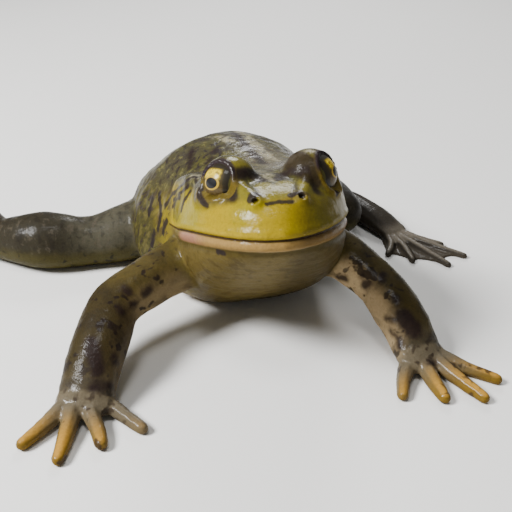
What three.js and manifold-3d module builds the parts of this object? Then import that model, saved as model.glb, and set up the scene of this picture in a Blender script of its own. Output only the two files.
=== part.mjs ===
// American bullfrog, life size, resting low on its belly: arms spread on the floor in front,
// the left hind leg folded at its side and the right one stretched out sideways.
// Millimetres and degrees. The frog looks towards -Y, its left side is +X and +Z is up.
// The origin is the middle of the flat that the belly rests on.
import * as THREE from 'three';
import { mergeVertices } from 'three/addons/utils/BufferGeometryUtils.js';
import Module from 'manifold-3d';

const wasm = await Module();
wasm.setup();

// ---- Driving dimensions -------------------------------------------------------------------

const GAP = 0.3; // between pieces that touch
const BODY_SIDES = 32; // points round a section of the body
const LIMB_SIDES = 12;
const DIGIT_SIDES = 7;
const LIMB_STEPS = 3; // rings from one station of a limb to the next
const LIMB_DOME = [84, 58, 30]; // latitudes of the rings that round off its ends
const HEAD_RING_STEP = 8; // degrees round the snout from ring to ring

// The head has its own frame: origin midway between the corners of the jaw, snout towards -Y.
const HEAD_AT = new THREE.Vector3(0, -55, 47);
const HEAD_PITCH = -12.6; // nose up
const HEAD_ROLL = -1.5; // left side up
const HEAD_YAW = -10.9; // turned to the frog's right
const HEAD_LENGTH = 51; // jaw corners to the front of the mouth
const HEAD_HALF_WIDTH = 31;
const HEAD_TAPER = 1.7; // roundness of the jaw seen from above
const CROWN_HEIGHT = 16; // above the line of the mouth
const CROWN_BLUNTNESS = 5; // how late the crown drops towards the snout
const THROAT_DEPTH = 35; // below it, between the jaw corners
const THROAT_CURVE = 0.75; // below 1 the throat hangs full, at 1 it runs straight to the chin
const NECK_BEHIND_JAW = 12; // where the head ends and the torso begins
const SLAB_MARGIN = 20; // the cut along the mouth reaches this far past the head
const SLAB_STEP = 4;
const SLAB_REACH = 80; // above and below the line of the mouth
const MOUTH_DROOP = 6; // how far the corners of the mouth hang below its front

// Places in the head's frame, given for the left side. The eyes sit a little unevenly.
const EYE_AT = {
  left: new THREE.Vector3(15.4, -23.5, 14),
  right: new THREE.Vector3(13.5, -23.5, 14),
};
const EYE_RADIUS = 8.2;
const LID_THICKNESS = 1.5;
const EYE_BULGE = 1.2; // how far the eyeball stands out of its mound
const EYE_YAW = { left: 36, right: 48 }; // how far forward of straight sideways the lids open
const EYE_TILT = 18; // and how far up
const LID_OPENING_WIDTH = 5.6; // half widths, where its sides are straight
const LID_OPENING_HEIGHT = 6.2;
const LID_OPENING_FLARE = [0.7, 1.15]; // its size at the middle of the eye, and outside
const LID_OPENING_REACH = 4; // how far the cut for it runs past the eyeball
const BROW_AT = new THREE.Vector3(13.2, -21.5, 9);
const BROW_SIZE = new THREE.Vector3(12.5, 14, 8.4); // half sizes of the swelling that carries the eye
const NOSTRIL_AT = new THREE.Vector3(7.6, -44.3, 12.2);
const NOSTRIL_SIZE = new THREE.Vector3(1.1, 1.4, 2.2); // half width, half height and depth
const NOSTRIL_YAW = 50;
const NOSTRIL_TILT = 30;
const NOSTRIL_MOUND_AT = new THREE.Vector3(7, -42.6, 10);
const NOSTRIL_MOUND_RADIUS = 3.1;
const TEMPLE_AT = new THREE.Vector3(19.6, -3.5, 5);
const TEMPLE_SIZE = new THREE.Vector3(10, 13, 10.5); // half sizes of the bulge behind the eye
const TYMPANUM_AT = new THREE.Vector3(28.9, -3.5, 6.2);
const TYMPANUM_RADIUS = 7.2;
const TYMPANUM_THICKNESS = 2.4;
const TYMPANUM_BOSS = [0.45, 0.25, 0.7]; // edge and shoulder as shares of the radius, and height
const TYMPANUM_YAW = -4;
const TYMPANUM_TILT = 12;
const LIP_RADIUS = 2.1;
const UPPER_LIP_INSET = 1.5; // from the edge of the jaw to the middle of the roll
const LOWER_LIP_INSET = 2.1;

// Ridges of the left side of the head: x, y, z, half width, half height.
const FOLD_OVER_EAR = [
  [20.5, -17.5, 13.6, 1.6, 1.6],
  [24.2, -10.5, 14.1, 2.2, 2.2],
  [26.1, -2, 13.5, 2.4, 2.4],
  [28.2, 5.2, 10.2, 2.4, 2.4],
  [29.8, 8.9, 3.6, 2.1, 2.1],
  [30.5, 10, -3.7, 1.4, 1.4],
];
const RIDGE_TO_NOSTRIL = [
  [11.5, -30, 13.6, 3.2, 3.2],
  [9.2, -37, 12.2, 2.8, 2.8],
  [7, -42.6, 10.4, 2.5, 2.5],
];

// Squareness of the body's sections, above and below: 2 is an ellipse and more is boxier.
const CROWN_SQUARENESS = 2.3;
const THROAT_SQUARENESS = [2.2, 3.6]; // at the front of the mouth and between the jaw corners
const TORSO_SQUARENESS = [2.1, 3.6];

const FINGER_RADII = [3.2, 2.5, 2]; // from the palm to the tip
const WEB_THICKNESS = 0.8;
const WEB_REACH = 0.93; // of the length of each toe
const WEB_DIP = 0.72; // how far the edge of the web reaches between two toes
const TOE_RADII = [2.1, 1.9, 1.3];
const TOE_HEIGHTS = [3.2, 1.7, 1.1];
const TOE_ROOT_ALONG_SOLE = 0.6;

// Sections of the body behind the head:
// x, y, z of its widest line, yaw, pitch, half width, height above that line, depth below it.
const TORSO_SECTIONS = [
  [1.5, -45, 39, -6, -8, 32.5, 23.5, 36.5],
  [1, -34, 31, 0, -3, 35, 31.5, 32],
  [0.3, -22, 27, 6, 0, 36.5, 35.5, 27.5],
  [-2.8, -9, 25, 13, 0, 37, 35, 25.5],
  [-7, 3, 23.5, 20, 0, 33.5, 29.5, 24],
  [-11, 13, 21.5, 22, 0, 27, 23.5, 21.8],
  [-14.5, 22, 19.5, 21, 0, 21, 19, 19],
  [-17.3, 29, 18.5, 19, 0, 13, 10.5, 12],
  [-18.8, 33.5, 18, 19, 0, 6.5, 5, 5.5],
];

// Limb stations: x, y, z of the middle, half width, half height.
const LIMBS = {
  right: {
    upperArm: [[-22, -47, 25.6, 10.6, 10.6], [-39, -55, 25, 9.3, 9.3], [-58, -63, 21, 8.8, 8.8]],
    forearm: [
      [-58, -63, 21, 8.8, 8.8],
      [-64, -73, 16, 9.8, 9.5],
      [-70, -83, 10.5, 9.6, 8],
      [-74, -91, 6, 9.6, 5.6],
    ],
    palm: [[-74, -91, 6, 9.6, 5.6], [-75.5, -94, 4, 9.8, 4]],
    fingers: [
      [[-81, -92, 4], [-89, -98, 2.6], [-96, -103, 1.9]],
      [[-79, -95, 4], [-83, -105, 2.6], [-86.5, -113.5, 1.9]],
      [[-74, -96, 4], [-73, -105, 2.6], [-73, -111.5, 1.9]],
      [[-69, -93, 4], [-64, -101, 2.6], [-59.5, -108.5, 1.9]],
    ],
    thigh: [
      [-25, 13, 15, 10, 11],
      [-38, 8, 12.8, 12.6, 12.6],
      [-56, 9, 10.5, 10.5, 10.5],
      [-74, 13, 12.2, 12.5, 12.5],
      [-92.5, 26, 9.5, 8.4, 8.4],
    ],
    shank: [
      [-92.5, 26, 9.5, 8.4, 8.4],
      [-104, 44, 11, 11.4, 11.4],
      [-116, 62.5, 8.6, 8.4, 8.4],
      [-129, 82.5, 7.2, 6.6, 6.6],
    ],
    tarsus: [[-129, 82.5, 7.2, 6.6, 6.6], [-142, 69, 6.2, 5.6, 5.8], [-155, 55, 5.8, 6.4, 5.4]],
    sole: [[-155, 55, 5.8, 6.4, 5.4], [-166, 44, 4.4, 7.2, 4.2], [-177, 34, 2.8, 6.8, 2.6]],
    toes: [[-177.5, 16.5], [-186.5, 12], [-197, 11.5], [-207, 16.5], [-201.5, 29.5]],
  },
  left: {
    upperArm: [[22, -50, 28, 10, 10], [31.5, -66, 24.6, 9, 9], [38.6, -81, 19.4, 8.2, 8.2]],
    forearm: [
      [38.6, -81, 19.4, 8.2, 8.2],
      [40.4, -89.5, 15.2, 9, 9],
      [41.6, -98, 10.5, 8.8, 8],
      [41.5, -106, 6, 9.2, 5.6],
    ],
    palm: [[41.5, -106, 6, 9.2, 5.6], [42.5, -110.5, 4, 9.2, 4]],
    fingers: [
      [[48, -109, 4], [55, -118, 2.6], [62, -126, 1.9]],
      [[46, -111, 4], [49, -122, 2.6], [52, -133, 1.9]],
      [[41, -112, 4], [40, -121, 2.6], [39.5, -128.5, 1.9]],
      [[37, -109, 4], [31, -116, 2.6], [27, -122.5, 1.9]],
    ],
    thigh: [
      [-2, 21, 17, 10, 11],
      [16, 10, 18, 14.2, 14.5],
      [36, -5, 18, 12.5, 13.5],
      [53, -16.5, 18, 10, 10],
    ],
    shank: [[53, -16.5, 18, 10, 10], [56, 2, 14, 11, 12.5], [58, 26, 10.5, 9, 9.5], [58, 48, 8, 6.6, 6.6]],
    tarsus: [[58, 48, 8, 6.6, 6.6], [66, 30, 6.6, 5.8, 6], [74, 12, 6, 6.6, 5.8]],
    sole: [[74, 12, 6, 6.6, 5.8], [78.5, -3, 5, 7.6, 4.8], [82, -17, 2.8, 7, 2.6]],
    toes: [[70.5, -32], [78, -41], [91, -49.5], [102, -45], [98, -32]],
  },
};

const COLOURS = {
  back: { color: 0x5c5537, roughness: 0.38, metalness: 0 },
  jaw: { color: 0x9c8c34, roughness: 0.36, metalness: 0 },
  throat: { color: 0x7d6a3c, roughness: 0.42, metalness: 0 },
  limb: { color: 0x44412c, roughness: 0.38, metalness: 0 },
  hand: { color: 0x8a7340, roughness: 0.4, metalness: 0 },
  web: { color: 0x6f695a, roughness: 0.4, metalness: 0 },
  ear: { color: 0x6b5f30, roughness: 0.42, metalness: 0 },
  eye: { color: 0x2a2210, roughness: 0.08, metalness: 0 },
};

// ---- Building blocks ----------------------------------------------------------------------

const rad = THREE.MathUtils.degToRad;
const lerp = THREE.MathUtils.lerp;
const UP = new THREE.Vector3(0, 0, 1);

// Closed surface over a row of rings of equal count, with a fan at each end.
// Every ring runs from its right hand side over the top, seen along the row.
function skinOver(rings) {
  const count = rings[0].length;
  const points = rings.flat();
  const triangles = [];
  const at = (ring, spot) => ring * count + (spot % count);
  for (let ring = 0; ring < rings.length - 1; ring += 1) {
    for (let spot = 0; spot < count; spot += 1) {
      triangles.push(at(ring, spot), at(ring + 1, spot), at(ring, spot + 1));
      triangles.push(at(ring, spot + 1), at(ring + 1, spot), at(ring + 1, spot + 1));
    }
  }
  const middle = (ring) => ring.reduce((sum, p) => sum.add(p), new THREE.Vector3()).divideScalar(count);
  const first = points.push(middle(rings[0])) - 1;
  const last = points.push(middle(rings[rings.length - 1])) - 1;
  for (let spot = 0; spot < count; spot += 1) {
    triangles.push(first, at(0, spot), at(0, spot + 1));
    triangles.push(last, at(rings.length - 1, spot + 1), at(rings.length - 1, spot));
  }
  const geometry = new THREE.BufferGeometry().setFromPoints(points);
  geometry.setIndex(triangles);
  return geometry;
}

// A section ring: a superellipse with its own height above and depth below the widest line.
function sectionRing({ at, right, up, half, rise, drop, square = [2, 2], sides = BODY_SIDES }) {
  const ring = [];
  for (let spot = 0; spot < sides; spot += 1) {
    const angle = (2 * Math.PI * spot) / sides;
    const power = 2 / (angle < Math.PI ? square[0] : square[1]);
    const across = Math.sign(Math.cos(angle)) * Math.abs(Math.cos(angle)) ** power;
    const above = Math.sign(Math.sin(angle)) * Math.abs(Math.sin(angle)) ** power;
    const height = above > 0 ? above * rise : above * drop;
    ring.push(at.clone().addScaledVector(right, across * half).addScaledVector(up, height));
  }
  return ring;
}

// A round limb through its stations, with a dome at each end, thickened all over by `grow`.
function limb(stations, { grow = 0, sides = LIMB_SIDES, steps = LIMB_STEPS, dome = LIMB_DOME } = {}) {
  const path = new THREE.CatmullRomCurve3(stations.map((s) => new THREE.Vector3(s[0], s[1], s[2])));
  const girth = new THREE.CatmullRomCurve3(stations.map((s) => new THREE.Vector3(s[3], s[4], 0)));
  const rings = [];
  const addRing = (t, along, scale) => {
    const heading = path.getTangent(t);
    const right = new THREE.Vector3().crossVectors(heading, UP).normalize();
    const up = new THREE.Vector3().crossVectors(right, heading);
    const size = girth.getPoint(t);
    const half = (size.x + grow) * scale;
    const rise = (size.y + grow) * scale;
    const at = path.getPoint(t).addScaledVector(heading, along * (size.y + grow));
    rings.push(sectionRing({ at, right, up, half, rise, drop: rise, sides }));
  };
  dome.forEach((a) => addRing(0, -Math.sin(rad(a)), Math.cos(rad(a))));
  const count = (stations.length - 1) * steps;
  for (let step = 0; step <= count; step += 1) addRing(step / count, 0, 1);
  [...dome].reverse().forEach((a) => addRing(1, Math.sin(rad(a)), Math.cos(rad(a))));
  return solidOf(skinOver(rings));
}

function solidOf(geometry, matrix = new THREE.Matrix4()) {
  const bare = geometry.index ? geometry : geometry.clone();
  bare.deleteAttribute('normal');
  bare.deleteAttribute('uv');
  const merged = mergeVertices(bare.applyMatrix4(matrix), 1e-4);
  const mesh = new wasm.Mesh({
    numProp: 3,
    vertProperties: new Float32Array(merged.attributes.position.array),
    triVerts: new Uint32Array(merged.index.array),
  });
  return new wasm.Manifold(mesh);
}

function geometryOf(solid) {
  const mesh = solid.getMesh();
  const geometry = new THREE.BufferGeometry();
  geometry.setAttribute('position', new THREE.BufferAttribute(mesh.vertProperties, 3));
  geometry.setIndex(new THREE.BufferAttribute(mesh.triVerts, 1));
  return geometry;
}

const largest = (solid) => solid.decompose().sort((a, b) => b.volume() - a.volume())[0];
const join = (solids) => solids.reduce((whole, next) => whole.add(next));
const carve = (solid, cutters) => cutters.reduce((whole, next) => whole.subtract(next), solid);
const aboveFloor = (solid) => solid.trimByPlane([0, 0, 1], 0);

// Keeps what lies ahead of a plane through `point`, half a gap away from it.
function keepAhead(solid, point, normal) {
  return solid.trimByPlane(normal.toArray(), normal.dot(point) + GAP / 2);
}

// ---- The body in one piece, before it is divided ------------------------------------------

const SIDES = { left: 1, right: -1 };

const headPose = new THREE.Matrix4().compose(
  HEAD_AT,
  new THREE.Quaternion().setFromEuler(new THREE.Euler(rad(HEAD_PITCH), rad(HEAD_ROLL), rad(HEAD_YAW), 'ZXY')),
  new THREE.Vector3(1, 1, 1),
);
const headPoseBack = headPose.clone().invert();

// Half width of the mouth at a depth behind the front of the snout, y running back from -HEAD_LENGTH.
const jawHalfWidth = (y) => HEAD_HALF_WIDTH * Math.sqrt(1 - (Math.max(0, -y) / HEAD_LENGTH) ** HEAD_TAPER);
const crownRise = (y) => CROWN_HEIGHT * Math.sqrt(1 - (Math.max(0, -y) / HEAD_LENGTH) ** CROWN_BLUNTNESS);
const throatDrop = (y) => THROAT_DEPTH * (1 - Math.max(0, -y) / HEAD_LENGTH) ** THROAT_CURVE;
const mouthHeight = (y) => -MOUTH_DROOP * (1 + Math.min(0, y) / HEAD_LENGTH) ** 2;

function headRing(y) {
  const ring = sectionRing({
    at: new THREE.Vector3(0, y, 0),
    right: new THREE.Vector3(1, 0, 0),
    up: UP,
    half: jawHalfWidth(y),
    rise: crownRise(y),
    drop: throatDrop(y),
    square: [CROWN_SQUARENESS, lerp(...THROAT_SQUARENESS, 1 + y / HEAD_LENGTH)],
  });
  return ring.map((p) => p.applyMatrix4(headPose));
}

function torsoRing(station) {
  const turn = new THREE.Euler(rad(station[4]), 0, rad(station[3]), 'ZXY');
  return sectionRing({
    at: new THREE.Vector3(station[0], station[1], station[2]),
    right: new THREE.Vector3(1, 0, 0).applyEuler(turn),
    up: new THREE.Vector3(0, 0, 1).applyEuler(turn),
    half: station[5],
    rise: station[6],
    drop: station[7],
    square: TORSO_SQUARENESS,
  });
}

function bodySolid() {
  const headRings = [];
  for (let angle = 86; angle > 0; angle -= HEAD_RING_STEP) {
    headRings.push(headRing(-HEAD_LENGTH * Math.sin(rad(angle))));
  }
  headRings.push(headRing(0));
  return solidOf(skinOver([...headRings, ...TORSO_SECTIONS.map(torsoRing)]));
}

// A lip is a roll that follows the edge of the jaw.
function lip(height, inset, radius) {
  const stations = [];
  for (let angle = 4; angle <= 177; angle += 10.75) {
    const y = -(HEAD_LENGTH - inset) * Math.sin(rad(angle)) ** (2 / HEAD_TAPER);
    const x = (HEAD_HALF_WIDTH - inset) * Math.cos(rad(angle));
    stations.push([x, y, mouthHeight(y) + height, radius, radius]);
  }
  return limb(stations, { sides: 7, steps: 1 }).transform(headPose.elements);
}

// Frame of a feature on one side of the head, with its +Z looking out of the head.
function sideFrame(at, side, forward, tilt) {
  const place = new THREE.Vector3(side * at.x, at.y, at.z);
  const out = new THREE.Vector3(side * Math.cos(rad(forward)), -Math.sin(rad(forward)), Math.tan(rad(tilt)));
  const turn = new THREE.Matrix4().lookAt(out, new THREE.Vector3(), UP);
  return headPose.clone().multiply(turn.setPosition(place));
}

const eyeFrame = (name) => sideFrame(EYE_AT[name], SIDES[name], EYE_YAW[name], EYE_TILT);

// The lids and the swelling round an eye, as one ball a little larger than the eyeball.
function eyeMound(name) {
  const mound = new THREE.SphereGeometry(EYE_RADIUS + LID_THICKNESS, 16, 12);
  mound.translate(0, 0, -EYE_BULGE);
  return solidOf(mound, eyeFrame(name));
}

// The opening between the lids: an almond that reaches out of the eye.
function lidOpening(name) {
  const reach = EYE_RADIUS + LID_OPENING_REACH;
  const [inside, outside] = LID_OPENING_FLARE;
  const almond = new THREE.CylinderGeometry(outside, inside, reach, 18);
  almond.rotateX(Math.PI / 2);
  almond.scale(LID_OPENING_WIDTH, LID_OPENING_HEIGHT, 1);
  almond.translate(0, 0, reach / 2);
  return solidOf(almond, eyeFrame(name));
}

function eyeball(name, grow = 0) {
  const ball = new THREE.SphereGeometry(EYE_RADIUS + grow, 18, 12);
  return solidOf(ball, eyeFrame(name));
}

function nostril(name) {
  const pit = new THREE.SphereGeometry(1, 10, 8);
  pit.scale(NOSTRIL_SIZE.x, NOSTRIL_SIZE.y, NOSTRIL_SIZE.z);
  return solidOf(pit, sideFrame(NOSTRIL_AT, SIDES[name], NOSTRIL_YAW, NOSTRIL_TILT));
}

// Round bumps and ridges of the head, before it is divided.
function bump(at, size, side) {
  const ball = new THREE.SphereGeometry(1, 14, 10);
  ball.scale(size.x, size.y, size.z);
  ball.translate(side * at.x, at.y, at.z);
  return solidOf(ball, headPose);
}

function ridge(stations, side) {
  const mirrored = stations.map(([x, ...rest]) => [side * x, ...rest]);
  return limb(mirrored, { sides: 8, steps: 2, dome: [60] }).transform(headPose.elements);
}

function headFeatures(name) {
  const side = SIDES[name];
  const nostrilMound = new THREE.Vector3().setScalar(NOSTRIL_MOUND_RADIUS);
  return [
    eyeMound(name),
    bump(BROW_AT, BROW_SIZE, side),
    bump(TEMPLE_AT, TEMPLE_SIZE, side),
    bump(NOSTRIL_MOUND_AT, nostrilMound, side),
    ridge(FOLD_OVER_EAR, side),
    ridge(RIDGE_TO_NOSTRIL, side),
  ];
}

function tympanum(name, grow = 0) {
  const radius = TYMPANUM_RADIUS + grow;
  const half = TYMPANUM_THICKNESS / 2;
  const [edge, shoulder, height] = TYMPANUM_BOSS;
  const profile = [
    new THREE.Vector2(0, -half - grow),
    new THREE.Vector2(radius, -half - grow),
    new THREE.Vector2(radius, half),
    new THREE.Vector2(radius * edge, half),
    new THREE.Vector2(radius * shoulder, half + height * 0.85),
    new THREE.Vector2(0, half + height),
  ];
  const disc = new THREE.LatheGeometry(profile, 20);
  disc.rotateX(Math.PI / 2);
  return solidOf(disc, sideFrame(TYMPANUM_AT, SIDES[name], TYMPANUM_YAW, TYMPANUM_TILT));
}

// ---- Limbs --------------------------------------------------------------------------------

const firstPoint = (stations) => new THREE.Vector3(...stations[0].slice(0, 3));
const lastPoint = (stations) => new THREE.Vector3(...stations[stations.length - 1].slice(0, 3));

// Direction across the joint between two neighbouring lengths of a limb.
function acrossJoint(upper, lower) {
  const joint = lastPoint(upper);
  const before = joint.clone().sub(firstPoint(upper)).normalize();
  const after = lastPoint(lower).sub(joint).normalize();
  return before.add(after).normalize();
}

// Cuts a chain of overlapping lengths apart at their joints.
function partAtJoints(chain, solids) {
  return solids.map((solid, i) => {
    let piece = solid;
    if (i > 0) piece = keepAhead(piece, firstPoint(chain[i]), acrossJoint(chain[i - 1], chain[i]));
    if (i < solids.length - 1) {
      piece = keepAhead(piece, lastPoint(chain[i]), acrossJoint(chain[i], chain[i + 1]).negate());
    }
    return piece;
  });
}

const DIGIT = { sides: DIGIT_SIDES, steps: 2, dome: [78, 42] };

function hand({ palm, fingers }) {
  const digits = fingers.map((points) => {
    return limb(points.map((p, i) => [...p, FINGER_RADII[i], FINGER_RADII[i]]), DIGIT);
  });
  return join([limb(palm), ...digits]);
}

// Toes joined by a web that is scalloped between their tips, flat on the floor.
function foot({ sole, toes }) {
  const ball = lastPoint(sole);
  const heel = firstPoint(sole);
  const along = (from, to, share) => [lerp(from[0], to[0], share), lerp(from[1], to[1], share)];
  const root = along([heel.x, heel.y], [ball.x, ball.y], TOE_ROOT_ALONG_SOLE);
  const centre = [ball.x, ball.y];
  const rays = toes.map((tip) => {
    const places = [root, along(centre, tip, 0.5), tip];
    return limb(places.map((p, i) => [...p, TOE_HEIGHTS[i], TOE_RADII[i], TOE_RADII[i]]), DIGIT);
  });
  const outline = new THREE.Shape();
  outline.moveTo(...root);
  toes.forEach((toe, i) => {
    const tip = along(centre, toe, WEB_REACH);
    if (i === 0) {
      outline.lineTo(...tip);
      return;
    }
    const between = along(toes[i - 1], toe, 0.5);
    outline.quadraticCurveTo(...along(centre, between, WEB_DIP), ...tip);
  });
  outline.closePath();
  const flat = { depth: WEB_THICKNESS, bevelEnabled: false, curveSegments: 5 };
  const web = new THREE.ExtrudeGeometry(outline, flat);
  return join([limb(sole), ...rays, solidOf(web)]);
}

// ---- Assembly -----------------------------------------------------------------------------

const model = new THREE.Group();

function addNode(parent, name, geometry, look) {
  const mesh = new THREE.Mesh(geometry, new THREE.MeshStandardMaterial(look));
  mesh.name = name;
  parent.add(mesh);
}

const headGroup = new THREE.Group();
headGroup.applyMatrix4(headPose);
model.add(headGroup);
const intoHead = (solid) => solid.transform(headPoseBack.elements);

const sideNames = Object.keys(SIDES);
const roots = sideNames.flatMap((name) => [
  limb(LIMBS[name].upperArm, { grow: GAP }),
  limb(LIMBS[name].thigh, { grow: GAP }),
]);
const eyes = sideNames.map((name) => eyeball(name, GAP));
const ears = sideNames.map((name) => tympanum(name, GAP));

const whole = aboveFloor(join([
  bodySolid(),
  ...sideNames.flatMap(headFeatures),
]));
const neckNormal = new THREE.Vector3(0, 1, 0).transformDirection(headPose);
const neckPoint = new THREE.Vector3(0, NECK_BEHIND_JAW, 0).applyMatrix4(headPose);

// The line of the mouth, drawn from the side and swept right across the head.
function mouthSlab(lower, upper) {
  const depths = [];
  const end = NECK_BEHIND_JAW + SLAB_MARGIN;
  for (let y = -HEAD_LENGTH - SLAB_MARGIN; y <= end; y += SLAB_STEP) depths.push(y);
  const edge = (shift) => depths.map((y) => {
    const height = mouthHeight(Math.max(y, -HEAD_LENGTH)) + shift;
    return new THREE.Vector2(y, height);
  });
  const shape = new THREE.Shape([...edge(lower), ...edge(upper).reverse()]);
  const width = 2 * (HEAD_HALF_WIDTH + SLAB_MARGIN);
  const slab = new THREE.ExtrudeGeometry(shape, { depth: width, bevelEnabled: false });
  slab.translate(0, 0, -width / 2);
  const sweepAcross = new THREE.Matrix4().makeBasis(
    new THREE.Vector3(0, 1, 0),
    new THREE.Vector3(0, 0, 1),
    new THREE.Vector3(1, 0, 0),
  );
  return solidOf(slab, headPose.clone().multiply(sweepAcross));
}

const aheadOfNeck = (solid) => keepAhead(solid, neckPoint, neckNormal.clone().negate());
const aboveMouth = mouthSlab(GAP / 2, SLAB_REACH);
const belowMouth = mouthSlab(-SLAB_REACH, -GAP / 2);
const headEnd = aheadOfNeck(whole);
const upperLip = aheadOfNeck(lip(LIP_RADIUS, UPPER_LIP_INSET, LIP_RADIUS));
const headSolid = carve(headEnd.add(upperLip).intersect(aboveMouth), [
  ...eyes,
  ...sideNames.map(lidOpening),
  ...sideNames.map(nostril),
  ...ears,
  ...roots,
]);
const lowerLip = aheadOfNeck(lip(-LIP_RADIUS, LOWER_LIP_INSET, LIP_RADIUS));
const jawSolid = carve(headEnd.add(lowerLip).intersect(belowMouth), [...ears, ...roots]);
const torsoSolid = carve(keepAhead(whole, neckPoint, neckNormal), [...ears, ...roots]);

addNode(headGroup, 'head', geometryOf(largest(intoHead(headSolid))), COLOURS.jaw);
addNode(headGroup, 'lower_jaw', geometryOf(largest(intoHead(jawSolid))), COLOURS.throat);
addNode(model, 'torso', geometryOf(largest(torsoSolid)), COLOURS.back);

sideNames.forEach((name) => {
  addNode(headGroup, `eye_${name}`, geometryOf(intoHead(eyeball(name))), COLOURS.eye);
  addNode(headGroup, `tympanum_${name}`, geometryOf(intoHead(tympanum(name))), COLOURS.ear);

  const { upperArm, forearm, palm, thigh, shank, tarsus, sole } = LIMBS[name];
  const arm = partAtJoints(
    [upperArm, forearm, palm],
    [limb(upperArm), limb(forearm), hand(LIMBS[name])],
  );
  const leg = partAtJoints(
    [thigh, shank, tarsus, sole],
    [limb(thigh), limb(shank), limb(tarsus), foot(LIMBS[name])],
  );
  const pieces = {
    upper_arm: [arm[0], COLOURS.limb],
    forearm: [arm[1], COLOURS.limb],
    hand: [arm[2], COLOURS.hand],
    thigh: [leg[0], COLOURS.limb],
    shank: [leg[1], COLOURS.limb],
    tarsus: [leg[2], COLOURS.limb],
    foot: [leg[3], COLOURS.web],
  };
  Object.entries(pieces).forEach(([piece, [solid, look]]) => {
    addNode(model, `${piece}_${name}`, geometryOf(largest(aboveFloor(solid))), look);
  });
});

export default model;
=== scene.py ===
import math

import bpy
import numpy as np
from mathutils import Matrix, Vector
from mathutils.bvhtree import BVHTree
from mathutils.noise import fractal


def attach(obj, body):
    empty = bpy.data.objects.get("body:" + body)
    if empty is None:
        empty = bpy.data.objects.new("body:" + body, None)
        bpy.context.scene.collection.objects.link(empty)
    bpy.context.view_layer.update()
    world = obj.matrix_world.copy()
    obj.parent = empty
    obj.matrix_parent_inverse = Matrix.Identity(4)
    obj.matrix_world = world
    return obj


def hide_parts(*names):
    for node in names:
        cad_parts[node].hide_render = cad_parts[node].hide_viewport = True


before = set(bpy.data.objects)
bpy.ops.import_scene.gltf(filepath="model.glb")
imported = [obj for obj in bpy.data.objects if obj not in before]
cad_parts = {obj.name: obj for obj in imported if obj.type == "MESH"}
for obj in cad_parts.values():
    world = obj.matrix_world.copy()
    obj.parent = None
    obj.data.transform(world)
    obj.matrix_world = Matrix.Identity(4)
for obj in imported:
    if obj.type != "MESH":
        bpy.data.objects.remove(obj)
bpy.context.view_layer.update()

MM = 0.001

# The head's own frame: its origin lies midway between the corners of the jaw.
HEAD_AT = (0, -55, 47)
HEAD_YAW = -10.9
HEAD_PITCH = -12.6
HEAD_ROLL = -1.5
HEAD_LENGTH = 51
MOUTH_DROOP = 6

EYE_AT = {"left": (15.4, -23.5, 14), "right": (-13.5, -23.5, 14)}
EYE_RADIUS = 8.2
LID_YAW = {"left": 36, "right": 48}
LID_TILT = 18
LID_HALF_WIDTH = 5.25
LID_HALF_HEIGHT = 5.8
GAZE_YAW = {"left": 26, "right": 40}
GAZE_TILT = 12
PUPIL_HALF_WIDTH = 2.5
PUPIL_HALF_HEIGHT = 1.8
IRIS_MAP = 20  # the iris map of an eye is this wide
CORNEA_RISE = 0.035  # of the eyeball's radius
CORNEA_ANGLE = 28  # degrees from its middle to where it has fallen to about a third
NOSTRIL_AT = {"left": (7.6, -44.3, 12.2), "right": (-7.6, -44.3, 12.2)}
NOSTRIL_YAW = 50
NOSTRIL_TILT = 30
NOSTRIL_RADIUS = 0.8
NOSTRIL_DEPTH = 1.1
EAR_AT = {"left": (28.9, -3.5, 6.2), "right": (-28.9, -3.5, 6.2)}
EAR_RADIUS = 7.2
EAR_YAW = -4
EAR_TILT = 12
WRIST_AT = {"left": (41.5, -106, 6), "right": (-74, -91, 6)}
WRIST_AHEAD = {"left": (0, -0.87, -0.49), "right": (-0.4, -0.8, -0.45)}
SIDES = {"left": 1, "right": -1}

# The middle of the back, seen from above: y, and x there.
SPINE = [
    (-45, 1.5), (-34, 1), (-22, 0.3), (-9, -2.8), (3, -7), (13, -11), (22, -14.5), (33.5, -18.8),
]

# How the skin is made.
SKIN_GROWTH = 0.2  # the copies of the flesh grow by this, so that the gaps between them close
SKIN_GRAIN = 0.65  # edge of the voxels that fuse them into one shell
SKIN_SHARE = 0.49  # of its faces are kept
LID_ROLL = 1.15  # radius of the roll of flesh round the opening of the lids
LID_ROLL_OUT = 1.08  # where it runs, as a share of the opening's size
LID_POINTS = 16
EYE_CLEARANCE = 0.05
EYE_SEAT = 0.7  # how far under the eyeball's surface the skin lies where the lids are open

# Ridges and grooves: where the middle of each lies, its width and its height. Those of the mouth
# are measured up from its line, and those of the ear out from its edge.
MOUTH_RIDGES = [(0, 0.6, -0.75), (-2.1, 1.3, 0.35), (-4.9, 1.2, -0.6), (1.8, 1.2, 0.22)]
EAR_RIDGES = [(0.8, 1.5, 0.1), (-1.4, 1.7, -0.26)]
EAR_BOSS = 0.2  # height of the swelling in the middle of the eardrum
WRIST_CREASE = 0.3

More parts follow.
